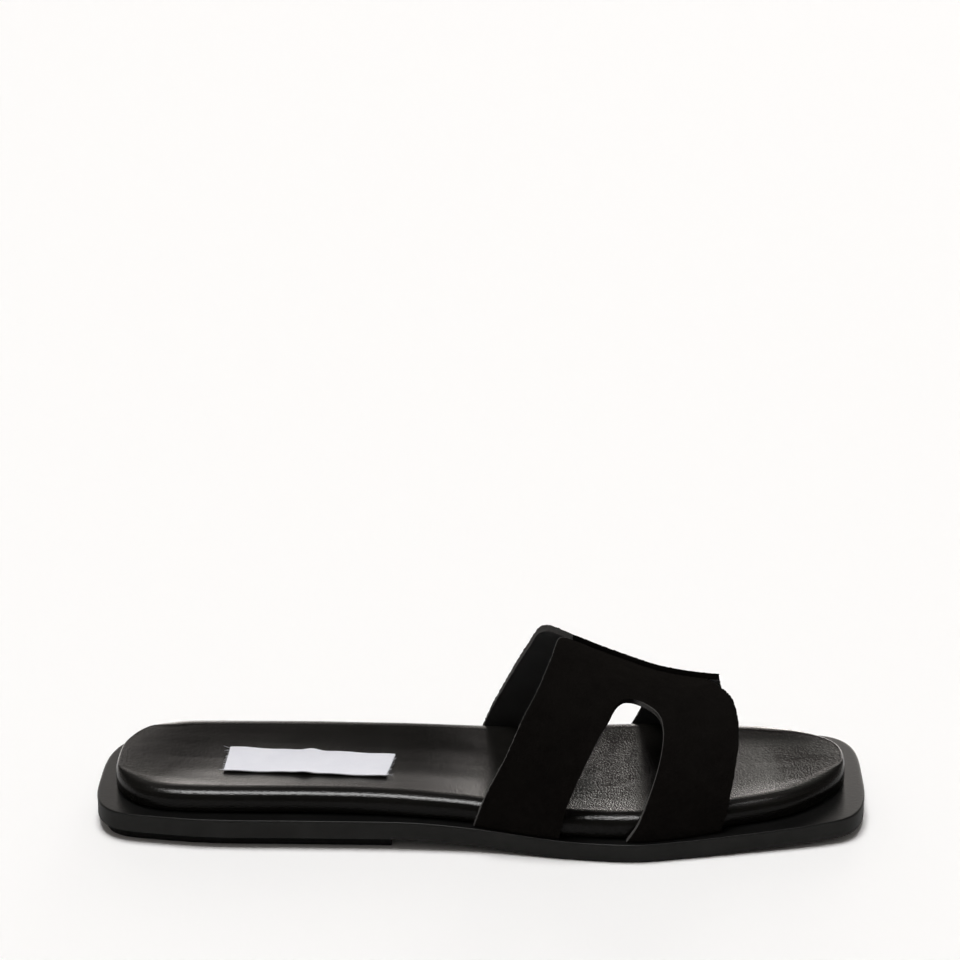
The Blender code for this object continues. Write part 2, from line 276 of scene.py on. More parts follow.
def spread(value, begins, full, fades, ends):
    """1 between full and fades, 0 outside begins and ends."""
    return room.soft_step(value, begins, full) * room.soft_step(value, ends, fades)


towards = room.node("ShaderNodeTexCoord")["Generated"]
parts = room.node("ShaderNodeSeparateXYZ", None, {0: towards})
height = parts["Z"]
behind = room.soft_step(parts["Y"], *BEHIND)
azimuth = parts["X"] / parts["Y"]
sides = 1 + spread(azimuth, *RIGHT_SPREAD) * RIGHT_SIDE + spread(azimuth, *LEFT_SPREAD) * LEFT_SIDE
walls = room.soft_step(height, *WALL_FADE) * behind * sides * ROOM + DARK + (1 - behind) * FRONT_FILL
panels = spread(azimuth, *RIGHT_PANEL_SPREAD) + spread(azimuth, *LEFT_PANEL_SPREAD)
panels = panels * PANEL * behind * spread(height, *PANEL_HEIGHTS)
inside = room.soft_step(height, *CEILING_BEGINS)
for part, aim, half in zip(("X", "Y"), LAMP_AIM, LAMP_HALF):
    off_axis = abs(parts[part] / height - aim)
    inside = inside * room.soft_step(off_axis, half + LAMP_BLUR, half - LAMP_BLUR)
tint = room.node("ShaderNodeMix", {"data_type": "RGBA"}, {0: inside, 6: WARM_WALLS, 7: colour(1, 1, 1)})
strength = walls + panels + inside * LAMP
glow = room.node("ShaderNodeBackground", None, {"Color": tint[2], "Strength": strength})
room.node("ShaderNodeOutputWorld", None, {"Surface": glow["Background"]})
bpy.context.scene.view_settings.view_transform = "Standard"
print("nodes of the world:", len(room.tree.nodes))

# %% [markdown]
# The floor is one plain square, far wider than the picture, so that its edge is never seen. It is the
# stage: it belongs to the picture and not to the sandal.

# %% Floor
FLOOR_HALF = 4.0
floor_form = bmesh.new()
bmesh.ops.create_grid(floor_form, x_segments=1, y_segments=1, size=FLOOR_HALF)
floor_mesh = bpy.data.meshes.new("floor")
floor_form.to_mesh(floor_mesh)
floor_form.free()
floor = bpy.data.objects.new("floor", floor_mesh)
bpy.context.collection.objects.link(floor)
print("the floor is", 2 * FLOOR_HALF, "m wide")

# %% [markdown]
# Outlines are short tables of shares, read through a smooth curve. Each row says how far along the sole
# it is and how far its two sides stand from the middle. The squared ends are rounded by a power curve:
# a power of 2 would be an ellipse, and a higher one is squarer.

# %% Outline tables
OUTSOLE_SIDES = (
    # along, near, far
    (0.000, -0.309, 0.336),
    (0.050, -0.325, 0.397),
    (0.145, -0.369, 0.418),
    (0.270, -0.381, 0.412),
    (0.395, -0.392, 0.404),
    (0.490, -0.414, 0.412),
    (0.545, -0.441, 0.430),
    (0.612, -0.478, 0.460),
    (0.690, -0.500, 0.490),
    (0.755, -0.472, 0.500),
    (0.825, -0.431, 0.484),
    (0.905, -0.381, 0.454),
    (0.965, -0.331, 0.412),
    (1.000, -0.292, 0.379),
)
OUTSOLE_ENDS = {"heel": (0.075, 3.3), "toe": (0.062, 3.6)}
FOOTBED_SIDES = (
    # along, near, far
    (0.0225, -0.249, 0.290),
    (0.060, -0.288, 0.352),
    (0.145, -0.309, 0.362),
    (0.270, -0.317, 0.357),
    (0.345, -0.328, 0.346),
    (0.420, -0.350, 0.339),
    (0.490, -0.366, 0.350),
    (0.545, -0.399, 0.370),
    (0.612, -0.434, 0.399),
    (0.690, -0.450, 0.420),
    (0.755, -0.416, 0.420),
    (0.825, -0.354, 0.394),
    (0.905, -0.287, 0.356),
    (0.9760, -0.200, 0.281),
)
FOOTBED_ENDS = {"heel": (0.120, 2.95), "toe": (0.125, 2.60)}
print("rows:", len(OUTSOLE_SIDES), "for the outsole and", len(FOOTBED_SIDES), "for the footbed")

# %% [markdown]
# A table is read by walking to the two rows round a value and drawing a curve between them that also
# keeps the slope of their neighbours. Nothing kinks where two rows meet.

# %% Reading a table


def along_x(share):
    return HEEL_X + share * LENGTH


def smooth(value, low, high):
    """0 below low, 1 above high, and an S between them, the other way round where high is less."""
    share = min(max((value - low) / (high - low), 0.0), 1.0)
    return share * share * (3 - 2 * share)


def read_table(rows, column, value):
    """A column of a table at a value of its first column, on a smooth curve through the rows."""
    last = len(rows) - 2
    index = next((i for i in range(last) if value < rows[i + 1][0]), last)
    before, low = rows[max(index - 1, 0)], rows[index]
    high, after = rows[index + 1], rows[min(index + 2, len(rows) - 1)]
    span = high[0] - low[0]
    share = min(max((value - low[0]) / span, 0.0), 1.0)
    low_slope = (high[column] - before[column]) / (high[0] - before[0]) * span
    high_slope = (after[column] - low[column]) / (after[0] - low[0]) * span
    square, cube = share * share, share ** 3
    return (low[column] * (2 * cube - 3 * square + 1) + high[column] * (3 * square - 2 * cube)
            + low_slope * (cube - 2 * square + share) + high_slope * (cube - square))


def side_y(sides, column, x):
    return read_table(sides, column, (x - HEEL_X) / LENGTH) * BALL_WIDTH


print("outsole ends at x =", along_x(0), "and", along_x(1))

# %% [markdown]
# An outline is a closed loop of points: close together round the two ends, where it turns, and evenly
# along the sides. Moving a loop inwards gives the next ring of a sole. Round the far corners the
# footbed's roll is tighter, so there the loop moves a smaller share of the way.

# %% Outlines
SIDE_STEPS = 150
END_STEPS = 56
END_TURN = (0.30, 0.92)
FAR_TURN = (0.75, 0.10)


def outline(sides, ends):
    """The near side's points from heel to toe, then the far side's back to the heel."""
    heel_depth, heel_power = ends["heel"][0] * LENGTH, ends["heel"][1]
    toe_depth, toe_power = ends["toe"][0] * LENGTH, ends["toe"][1]
    heel_end, toe_end = along_x(sides[0][0]), along_x(sides[-1][0])
    stations = []
    for step in range(END_STEPS):
        angle = math.pi / 2 * (step + 0.5) / END_STEPS
        stations.append((heel_end + heel_depth * (1 - math.cos(angle) ** (2 / heel_power)),
                         math.sin(angle) ** (2 / heel_power), 0.0))
    straight = toe_end - toe_depth - heel_end - heel_depth
    for step in range(SIDE_STEPS + 1):
        stations.append((heel_end + heel_depth + straight * step / SIDE_STEPS, 1.0, 0.0))
    for step in reversed(range(END_STEPS)):
        angle = math.pi / 2 * (step + 0.5) / END_STEPS
        stations.append((toe_end - toe_depth * (1 - math.cos(angle) ** (2 / toe_power)),
                         math.sin(angle) ** (2 / toe_power), math.cos(angle)))
    loops = {1: [], 2: []}
    for x, width, skew in stations:
        middle = (side_y(sides, 1, x) + side_y(sides, 2, x)) / 2
        for column, loop in loops.items():
            across = (side_y(sides, column, x) - middle) * width
            loop.append(Vector((x + TOE_SKEW * skew * across, middle + across, 0)))
    return loops[1] + loops[2][::-1]


def inward_ways(loop):
    """For each point of a loop, the way inwards, square to the loop."""
    ways = []
    for index in range(len(loop)):
        run = loop[(index + 1) % len(loop)] - loop[index - 1]
        ways.append(Vector((-run.y, run.x, 0)).normalized())
    return ways


def end_shares(loop):
    """For each point of a loop, 0 along its sides and 1 at its very ends."""
    return [smooth(abs(way.x), *END_TURN) for way in inward_ways(loop)]


def inset_loop(loop, distance, at_ends=1.0):
    """The loop moved inwards by a distance, and by another share of it round the ends' far corners."""
    moved = []
    for point, way, share in zip(loop, inward_ways(loop), end_shares(loop)):
        tight = share * smooth(way.y, *FAR_TURN)
        moved.append(point + way * distance * (1 + (at_ends - 1) * tight))
    return moved


def middle_line(loop, sides, reach):
    """For each point of a loop, the point of the middle line that it runs in to."""
    low = along_x(sides[0][0]) + reach * BALL_WIDTH
    high = along_x(sides[-1][0]) - reach * BALL_WIDTH
    line = []
    for index, point in enumerate(loop):
        x = (point.x + loop[len(loop) - 1 - index].x) / 2
        x = min(max(x, low), high)
        y = (side_y(sides, 1, x) + side_y(sides, 2, x)) / 2
        line.append(Vector((x, y, 0)))
    return line


print("points round the outsole:", len(outline(OUTSOLE_SIDES, OUTSOLE_ENDS)))

# %% [markdown]
# The sole stands on its heel lift behind and on a short flat under the ball. Between them its underside
# comes down in an S, and in front it springs up a little towards the toe.

# %% Heights along the sole
HEEL_LEVEL_ENDS = 0.385
FLAT_BEGINS = 0.625
FLAT_ENDS = 0.720
SPRING_POWER = 1.6


def underside(x):
    """Height of the outsole's underside over the floor."""
    heel = LIFT_HEIGHT * (1 - smooth(x, along_x(HEEL_LEVEL_ENDS), along_x(FLAT_BEGINS)))
    spring = max(x - along_x(FLAT_ENDS), 0.0) / (LENGTH * (1 - FLAT_ENDS))
    return heel + TOE_SPRING * spring ** SPRING_POWER


def sole_top(x):
    return underside(x) + OUTSOLE_THICKNESS


def footbed_base(x):
    return sole_top(x) + CLEARANCE


print("the toe's underside is", round(underside(along_x(1)) / MM, 2), "mm up")

# %% [markdown]
# The floor is plain matt white paper. The leather of the footbed is smooth and soft with a fine pebble,
# fine slack wrinkles that run across it, and patches that are rubbed a little glossier. The rubber is
# duller, with moulding dust. The suede drinks the light: almost black, with only blotches of nap.

# %% Finishes of floor, leather and rubber
paper = Finish("floor paper", Roughness=0.95, Specular_IOR_Level=0.1)
paper.set("Base Color", colour(0.95, 0.95, 0.95))
floor_mesh.materials.append(paper.material)


def leather_finish(name, mirror):
    """Smooth black leather over foam."""
    finish = Finish(name, Specular_IOR_Level=mirror)
    pebble = finish.cells(0.00065)
    pores = finish.noise(0.00035, 2.0, 0.6)
    slack = finish.noise(0.0020, 3.0, 0.55, finish.place((0.75, 1.25, 1.0), (0, 0, math.radians(28))))
    along = finish.node("ShaderNodeSeparateXYZ", None, {0: finish.place()})["X"]
    ball_begins, ball_full, ball_fades, ball_ends, toes_begin, toes_full = (
        along_x(share) for share in (0.53, 0.60, 0.68, 0.78, 0.80, 0.90))
    at_ball = finish.soft_step(along, ball_begins, ball_full)
    at_ball = at_ball * finish.soft_step(along, ball_ends, ball_fades)
    at_toes = finish.soft_step(along, toes_begin, toes_full)
    slack = slack * (0.12 + at_ball * 0.88 + at_toes * 0.4)
    patches = finish.noise(0.020, 3.0, 0.55)
    dust = finish.noise(0.0045, 4.0, 0.7)
    shade = finish.ramp(patches, (0.30, (0.0048, 0.0045, 0.0040)), (0.72, (0.0072, 0.0068, 0.0061)))
    worn = finish.ramp(dust, (0.58, 0.0), (0.82, 1.0))
    finish.set("Base Color", finish.blend(worn * 0.25, shade, colour(0.020, 0.019, 0.018)))
    finish.set("Roughness", 0.11 + patches * 0.07 + pores * 0.04)
    relief = finish.bump((1 - pebble) * (0.5 + at_ball * 0.4), 0.000075)
    relief = finish.bump(slack, 0.00004, relief)
    finish.set("Normal", finish.bump(pores, 0.00003, relief))
    return finish.material


def rubber_finish(name, base, gloss, mirror=0.13):
    """Moulded black rubber with a dull skin and a little dust."""
    finish = Finish(name, Specular_IOR_Level=mirror)
    skin = finish.noise(0.0009, 3.0, 0.6)
    cloud = finish.noise(0.014, 3.0, 0.5)
    dust = finish.noise(0.0006, 2.0, 0.7)
    specks = finish.ramp(dust, (0.70, 0.0), (0.78, 1.0))
    tone = finish.ramp(cloud, (0.25, base), (0.75, [c * 1.5 for c in base]))
    finish.set("Base Color", finish.blend(specks * 0.10, tone, colour(0.06, 0.06, 0.055)))
    finish.set("Roughness", gloss + cloud * 0.14)
    finish.set("Normal", finish.bump(skin, 0.00004))
    return finish.material


LEATHER = leather_finish("footbed leather", 0.25)
SIDE_LEATHER = leather_finish("footbed side leather", 0.09)
OUTSOLE_RUBBER = rubber_finish("outsole rubber", (0.0034, 0.0034, 0.0033), 0.24)
# the wall's colour is painted about five times lighter than the top's, a painted reflection of the white
# floor, and its mirror is turned down
PAINTED_LIGHT_WALL_RUBBER = rubber_finish("outsole wall rubber with painted light", (0.0180, 0.0180, 0.0173), 0.45, 0.05)
LIFT_RUBBER = rubber_finish("lift rubber", (0.0035, 0.0035, 0.0035), 0.60)
print("finishes:", [m.name for m in (LEATHER, SIDE_LEATHER, OUTSOLE_RUBBER, PAINTED_LIGHT_WALL_RUBBER, LIFT_RUBBER)])

# %% [markdown]
# Suede is leather with its fibres brushed up. It has no mirror at all, only a nap that lies in soft
# blotches. The lining is thin smooth leather, and the cut edge between them is raw: greyer, with fibres.
# That grey is laid only on the edges that catch the lamp, so it is partly a painted highlight.

# %% Finishes of the upper


def suede_finish():
    finish = Finish("suede", Specular_IOR_Level=0.0, Roughness=1.0)
    nap = finish.noise(0.0055, 4.0, 0.6)
    fibres = finish.noise(0.0004, 3.0, 0.7)
    tone = finish.ramp(nap, (0.30, (0.0052, 0.0046, 0.0042)), (0.75, (0.0072, 0.0064, 0.0058)))
    bright = finish.ramp(fibres, (0.45, 0.0), (0.80, 1.0))
    body = finish.blend(bright * 0.35, tone, colour(0.0110, 0.0098, 0.0088))
    raw = finish.node("ShaderNodeAttribute", {"attribute_name": "raw"})["Fac"]
    raw = finish.soft_step(raw + fibres * 0.5, 0.45, 1.05)
    # the cut edges' raw grey, laid only where they catch the lamp, is partly a painted highlight
    finish.set("Base Color", finish.blend(raw, body, colour(0.080, 0.078, 0.076)))
    finish.set("Normal", finish.bump(fibres, 0.00012))
    return finish.material


def lining_finish():
    finish = Finish("lining leather", Specular_IOR_Level=0.45)
    grain = finish.noise(0.0008, 3.0, 0.6)
    tone = finish.noise(0.018, 2.0, 0.5)
    shade = finish.ramp(tone, (0.3, (0.024, 0.024, 0.0242)), (0.7, (0.038, 0.038, 0.0382)))
    finish.set("Base Color", shade)
    finish.set("Roughness", 0.48 + grain * 0.16)
    finish.set("Normal", finish.bump(grain, 0.00005))
    return finish.material


SUEDE = suede_finish()
LINING = lining_finish()
print("finishes:", SUEDE.name, LINING.name)

# %% [markdown]
# Sole and footbed are both stacks of rings: a loop of edges is extruded, the new loop is put where the
# next ring belongs, and so on round the profile. A lathe does this for round things, and a shoe's
# outline needs the same idea with an outline in place of a circle.

# %% Rings, and finished objects
MERGE_DISTANCE = 2e-6
NO_LENGTH = 1e-7


def first_ring(form, points):
    """A circle of vertices moved onto the first ring's points."""
    bmesh.ops.create_circle(form, cap_ends=False, segments=len(points), radius=1.0)
    form.verts.ensure_lookup_table()
    ring = list(form.verts)
    for vertex, point in zip(ring, points):
        vertex.co = point
    return ring


def next_ring(form, ring, points):
    """Extrudes a ring's edges and moves the new ring onto its points."""
    edges = [form.edges.get((ring[index - 1], vertex)) for index, vertex in enumerate(ring)]
    made = bmesh.ops.extrude_edge_only(form, edges=edges)["geom"]
    fresh = {item for item in made if isinstance(item, bmesh.types.BMVert)}
    grown = []
    for vertex, point in zip(ring, points):
        new = next(e.other_vert(vertex) for e in vertex.link_edges if e.other_vert(vertex) in fresh)
        new.co = point
        grown.append(new)
    return grown


def close_form(form):
    """Merges what meets, drops what has no area, and turns every face outwards."""
    bmesh.ops.remove_doubles(form, verts=form.verts, dist=MERGE_DISTANCE)
    bmesh.ops.dissolve_degenerate(form, edges=form.edges, dist=NO_LENGTH)
    bmesh.ops.recalc_face_normals(form, faces=form.faces)


def add_piece(name, form, materials, slot, *nodes):
    """A finished piece that rides on the sandal and stands for these nodes."""
    mesh = bpy.data.meshes.new(name)
    form.to_mesh(mesh)
    form.free()
    mesh.shade_smooth()
    for material in materials:
        mesh.materials.append(material)
    piece = bpy.data.objects.new(name, mesh)
    bpy.context.collection.objects.link(piece)
    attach(piece, "root")
    if nodes:
        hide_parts(*nodes)
    print(name, "has", len(mesh.polygons), "faces")
    return piece


def with_height(points, height):
    return [Vector((point.x, point.y, height(point.x))) for point in points]


def steps_between(rows, steps):
    """Rows of numbers on a smooth curve through the given rows, with steps between each two."""
    result = []
    for index in range(len(rows) - 1):
        before, low = rows[max(index - 1, 0)], rows[index]
        high, after = rows[index + 1], rows[min(index + 2, len(rows) - 1)]
        for step in range(steps):
            share = step / steps
            square, cube = share * share, share ** 3
            result.append([
                0.5 * (2 * b + (c - a) * share + (2 * a - 5 * b + 4 * c - d) * square
                       + (3 * b - a - 3 * c + d) * cube)
                for a, b, c, d in zip(before, low, high, after)])
    result.append(list(rows[-1]))
    return result


print("rings are merged within", MERGE_DISTANCE / MM, "mm")

# %% [markdown]
# The outsole is a thin slab of rubber. Its top edge has a tiny round that catches a line of light, its
# wall is slightly hollow where the mould closed, and its top has a faint step under the footbed. The
# wall's faces get a copy of the rubber whose colour is painted lighter, standing in for the bright floor
# the wall mirrors.

# %% Outsole
OUTSOLE_PROFILE = (
    # inwards in mm, share of the thickness
    (1.00, 0.000),
    (0.25, 0.000),
    (0.05, 0.010),
    (0.00, 0.040),
    (0.04, 0.250),
    (0.08, 0.500),
    (0.05, 0.750),
    (0.00, 0.900),
    (0.10, 0.960),
    (0.34, 0.994),
    (0.80, 1.000),
    (2.20, 1.000),
    (5.00, 0.998),
)
WALL_TOP = 0.95
OUTSOLE_REACH = 0.30
OUTSOLE_STEPS = 2
WALL_SLOT = 1


def make_outsole():
    loop = outline(OUTSOLE_SIDES, OUTSOLE_ENDS)
    middle = middle_line(loop, OUTSOLE_SIDES, OUTSOLE_REACH)
    form = bmesh.new()
    ring = first_ring(form, with_height(middle, underside))
    foot = inset_loop(loop, OUTSOLE_PROFILE[0][0] * MM)
    halfway = [point.lerp(centre, 0.5) for point, centre in zip(foot, middle)]
    ring = next_ring(form, ring, with_height(halfway, underside))
    profile = steps_between(OUTSOLE_PROFILE, OUTSOLE_STEPS)
    for inwards, up in profile:
        points = inset_loop(loop, inwards * MM)
        ring = next_ring(form, ring, with_height(points, lambda x: underside(x) + up * OUTSOLE_THICKNESS))
    halfway = [point.lerp(centre, 0.5) for point, centre in zip(points, middle)]
    ring = next_ring(form, ring, with_height(halfway, sole_top))
    ring = next_ring(form, ring, with_height(middle, sole_top))
    wall_ends = next(i for i, row in enumerate(profile) if row[1] > WALL_TOP) + 2
    # the wall's faces take the rubber with the painted light
    for face in list(form.faces)[:wall_ends * len(loop)]:
        face.material_index = WALL_SLOT
    close_form(form)
    return add_piece("outsole_body", form, [OUTSOLE_RUBBER, PAINTED_LIGHT_WALL_RUBBER], "outsole_rubber", "outsole")


make_outsole()
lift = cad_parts["heel_lift"]
for index in range(len(lift.material_slots)):
    lift.material_slots[index].material = LIFT_RUBBER

# %% [markdown]
# The footbed is foam under leather. The leather is pulled down over a rolled edge, so its profile is a
# full round wall, a crest, and a shallow dish inside it. The slack of the leather makes soft creases:
# each is a trough or a ridge along a short line, laid one by one where the foot bends or the hide is
# loose.

# %% The footbed's tables
FOOTBED_WALL = (
    # share of the edge roll, share of the height
    (0.10, 0.00),
    (0.03, 0.04),
    (0.00, 0.14),
    (0.00, 0.33),
    (0.01, 0.48),
    (0.06, 0.62),
    (0.15, 0.732),
    (0.265, 0.809),
    (0.43, 0.869),
    (0.62, 0.919),
    (0.91, 0.965),
    (1.26, 0.994),
    (1.50, 1.00),
    (1.74, 0.999),
    (2.03, 0.985),
)
SIDE_LEATHER_ENDS = 0.30
CREST = 1.5
ROLL_AT_ENDS = 0.22
LEAN = 0.0003
LEAN_AT = 0.33
FOOTBED_TOP = (
    # share of the way in to the middle line, share of the dish under the heel, and under the toes
    (0.00, 0.00, 0.00),
    (0.12, 0.19, 0.15),
    (0.30, 0.48, 0.34),
    (0.60, 0.86, 0.46),
    (1.00, 1.00, 0.50),
)
HEEL_DISH = (0.02, 0.15)
TOE_DISH = (0.87, 0.985)
FORE_BEGINS = 0.52
FORE_ENDS = 0.66
CREASES = (
    # along, across, turn in degrees, length mm, width mm, depth mm (a ridge is negative)
    (0.640, -0.05, 62, 22, 1.6, 0.16),
    (0.652, 0.10, 70, 26, 1.8, 0.18),
    (0.668, -0.16, 55, 20, 1.5, 0.14),
    (0.676, 0.04, 66, 24, 1.7, 0.16),
    (0.630, 0.20, 78, 24, 2.2, 0.16),
    (0.700, -0.10, 58, 18, 1.6, 0.12),
    (0.900, 0.02, 8, 34, 3.0, 0.03),
    (0.930, -0.14, 16, 26, 2.6, 0.03),
    (0.880, -0.22, 10, 22, 2.2, 0.03),
    (0.120, -0.18, -6, 40, 5.0, 0.18),
    (0.200, 0.12, 3, 60, 7.0, -0.16),
    (0.440, -0.10, 9, 44, 6.0, 0.16),
    (0.500, 0.14, -4, 40, 6.0, -0.14),
)
print("creases laid by hand:", len(CREASES))

# %% [markdown]
# Every point of the leather gets its height from four small functions: the creases, the unevenness of
# the foam, a rim that leans a little, and the dish. A point on the label asks the same functions.

# %% The leather's unevenness
WAVER = 0.06
WAVES = 5
BROAD_SLACK = (0.040, 0.026, 0.7, 0.00007)
FINE_SLACK = (0.010, 0.007, 3.1, 0.000012)


def crease_depth(x, y):
    """How far the creases lower the leather at a point."""
    depth = 0.0
    for along, across, turn, length, width, amount in CREASES:
        east, north = x - along_x(along), y - across * BALL_WIDTH
        angle = math.radians(turn)
        run = east * math.cos(angle) + north * math.sin(angle)
        off = north * math.cos(angle) - east * math.sin(angle)
        off += WAVER * length * MM * math.sin(run / (length * MM) * WAVES)
        fade = math.exp(-(run / (length * MM * 0.5)) ** 2)
        depth += amount * MM * fade * math.exp(-(off / (width * MM)) ** 2)
    return depth


def slack_leather(x, y):
    """Soft unevenness of the foam under the leather."""
    return sum(depth * noise.noise(Vector((x / long, y / wide, place)))
               for long, wide, place, depth in (BROAD_SLACK, FINE_SLACK))


def lean(x, y):
    """The rim stands a little higher on the big toe's side, from the heel to the waist."""
    fore = smooth(x, along_x(FORE_BEGINS), along_x(FORE_ENDS))
    return LEAN * y / (BALL_WIDTH * LEAN_AT) * (1 - fore)


def dish(x, y):
    """How far the top is dished at a place: deeper under the heel than the toes, and not at the ends."""
    near = side_y(FOOTBED_SIDES, 1, x) + FOOTBED_WALL[-1][0] * EDGE_ROLL
    far = side_y(FOOTBED_SIDES, 2, x) - FOOTBED_WALL[-1][0] * EDGE_ROLL
    inwards = min(max(1 - abs(y - (near + far) / 2) / ((far - near) / 2), 0.0), 1.0)
    fore = smooth(x, along_x(FORE_BEGINS), along_x(FORE_ENDS))
    heel_part, fore_part = (read_table(FOOTBED_TOP, column, inwards) for column in (1, 2))
    heel_fade = smooth(x, along_x(HEEL_DISH[0]), along_x(HEEL_DISH[1]))
    toe_fade = smooth(x, along_x(TOE_DISH[1]), along_x(TOE_DISH[0]))
    return (heel_part + (fore_part - heel_part) * fore) * DISH * heel_fade * toe_fade


print("dish under the heel:", round(dish(along_x(0.25), 0) / MM, 2), "mm deep")

# %% [markdown]
# The footbed's rings run up the wall, over the crest and in to the middle line. Round the two ends the
# crest stays level instead of dipping, so that no second ring shows there. The lowest faces, up to the
# roll, get the duller of the two leathers.

# %% Footbed
FOOTBED_REACH = 0.26
ROLL_STEPS = 4
TOP_STEPS = 9


def make_footbed():
    loop = outline(FOOTBED_SIDES, FOOTBED_ENDS)
    middle = middle_line(loop, FOOTBED_SIDES, FOOTBED_REACH)
    form = bmesh.new()
    ring = first_ring(form, with_height(middle, footbed_base))
    at_ends = end_shares(loop)
    side_rings = 0
    for roll, up in steps_between(FOOTBED_WALL, ROLL_STEPS):
        side_rings += roll < SIDE_LEATHER_ENDS
        points = inset_loop(loop, roll * EDGE_ROLL, ROLL_AT_ENDS)
        for point, at_end in zip(points, at_ends):
            raised = up + (1 - up) * at_end if roll > CREST else up
            point.z = footbed_base(point.x) + raised * FOOTBED_HEIGHT
            point.z += (slack_leather(point.x, point.y) + lean(point.x, point.y)) * up
        ring = next_ring(form, ring, points)
    shoulder = inset_loop(loop, FOOTBED_WALL[-1][0] * EDGE_ROLL, ROLL_AT_ENDS)
    rim = FOOTBED_WALL[-1][1] * FOOTBED_HEIGHT
    for inwards, _, _ in steps_between(FOOTBED_TOP, TOP_STEPS)[1:]:
        points = [point.lerp(centre, inwards) for point, centre in zip(shoulder, middle)]
        for point, at_end in zip(points, at_ends):
            level = rim + (FOOTBED_HEIGHT - rim) * at_end * (1 - inwards)
            point.z = footbed_base(point.x) + level - dish(point.x, point.y)
            point.z += slack_leather(point.x, point.y) + lean(point.x, point.y)
            point.z -= crease_depth(point.x, point.y)
        ring = next_ring(form, ring, points)
    for face in list(form.faces)[:side_rings * len(loop)]:
        face.material_index = WALL_SLOT
    close_form(form)
    return add_piece("footbed_pad", form, [LEATHER, SIDE_LEATHER], "footbed_leather", "footbed")


footbed = make_footbed()

# %% [markdown]
# Each panel of the upper is a ribbon bent round its window. Its rungs run from the outer edge to the
# window: a row of the table is one rung, and says how far along the sole and how far round the foot its
# two ends are. A turn of 0 is down at the panel's own side, and 0.5 is the top of the foot.

# %% The arch and the panels' tables
ARCH = (
    # along, share of the strap's height
    (0.470, 1.135),
    (0.580, 1.020),
    (0.618, 0.940),
    (0.655, 0.858),
    (0.690, 0.785),
    (0.724, 0.716),
    (0.755, 0.671),
    (0.797, 0.632),
    (0.850, 0.608),
)
UNDER_PANEL = (
    # outer along, outer turn, inner along, inner turn
    (0.4890, 0.000, 0.5960, 0.000),
    (0.5055, 0.065, 0.6040, 0.058),
    (0.5285, 0.138, 0.6175, 0.118),
    (0.5495, 0.220, 0.6345, 0.186),
    (0.5700, 0.300, 0.6480, 0.243),
    (0.5850, 0.385, 0.6590, 0.286),
    (0.5920, 0.445, 0.6655, 0.318),
    (0.5965, 0.495, 0.6705, 0.338),
    (0.6015, 0.535, 0.6745, 0.350),
    (0.6110, 0.572, 0.6790, 0.360),
    (0.6280, 0.608, 0.6850, 0.367),
    (0.6600, 0.640, 0.6920, 0.371),
    (0.7150, 0.662, 0.7020, 0.371),
    (0.7600, 0.660, 0.7100, 0.367),
    (0.7870, 0.630, 0.7170, 0.360),
    (0.7985, 0.580, 0.7220, 0.350),
    (0.8085, 0.520, 0.7265, 0.333),
    (0.8200, 0.460, 0.7285, 0.300),
    (0.8250, 0.400, 0.7280, 0.275),
    (0.8268, 0.335, 0.7260, 0.245),
    (0.8250, 0.262, 0.7225, 0.210),
    (0.8205, 0.200, 0.7175, 0.172),
    (0.8160, 0.145, 0.7110, 0.131),
    (0.8100, 0.080, 0.7020, 0.080),
    (0.8060, 0.035, 0.6930, 0.038),
    (0.8010, 0.000, 0.6805, 0.000),
)
OVER_PANEL = (
    # outer along, outer turn, inner along, inner turn
    (0.4940, 0.000, 0.6020, 0.000),
    (0.5110, 0.065, 0.6100, 0.058),
    (0.5330, 0.138, 0.6215, 0.110),
    (0.5530, 0.220, 0.6350, 0.162),
    (0.5690, 0.300, 0.6460, 0.205),
    (0.5795, 0.352, 0.6560, 0.243),
    (0.5885, 0.388, 0.6640, 0.270),
    (0.6000, 0.406, 0.6705, 0.287),
    (0.6150, 0.411, 0.6765, 0.299),
    (0.6400, 0.406, 0.6830, 0.308),
    (0.6800, 0.394, 0.6930, 0.314),
    (0.7350, 0.381, 0.7050, 0.315),
    (0.7820, 0.377, 0.7150, 0.310),
    (0.8050, 0.375, 0.7230, 0.300),
    (0.8120, 0.366, 0.7285, 0.286),
    (0.8135, 0.340, 0.7320, 0.265),
    (0.8160, 0.295, 0.7325, 0.240),
    (0.8195, 0.250, 0.7295, 0.210),
    (0.8200, 0.200, 0.7250, 0.172),
    (0.8160, 0.145, 0.7215, 0.130),
    (0.8100, 0.080, 0.7135, 0.080),
    (0.8060, 0.035, 0.7040, 0.038),
    (0.8010, 0.000, 0.6920, 0.000),
)
CLIMB_BEGINS = 0.250
CLIMB_ENDS = 0.335
print("rungs:", len(UNDER_PANEL), "and", len(OVER_PANEL))

# %% [markdown]
# The surface that carries the rungs is half an ellipse over the foot, which sinks towards the toes. Near
# its free end the panel on top climbs over the other one. The suede's outer edge is ragged, and where it
# was cut its raw core shows grey, which a value on the vertices tells the finish. The grey is laid only
# on the rear edges and the near window, the edges that catch the lamp, so it is also a painted highlight
# line.

# %% The upper's surface
RIBBON_STEPS = 420
ACROSS_STEPS = 72
WALL_CUTS = 3
SUEDE_SLOT, LINING_SLOT = 0, 1
FRAY = 0.00030
FRAY_GRAIN = 0.0007
FRAY_SEED = 7
NAP = ((0.0018, 0.00008), (0.0009, 0.00012))
RAW_AND_HIGHLIGHT_STEPS = 0.95
REAR_EDGE_ENDS = 0.618
WINDOW_EDGE_BEGINS = 0.680
WINDOW_EDGE_FULL = 0.712
WINDOW_FRONT = 0.62


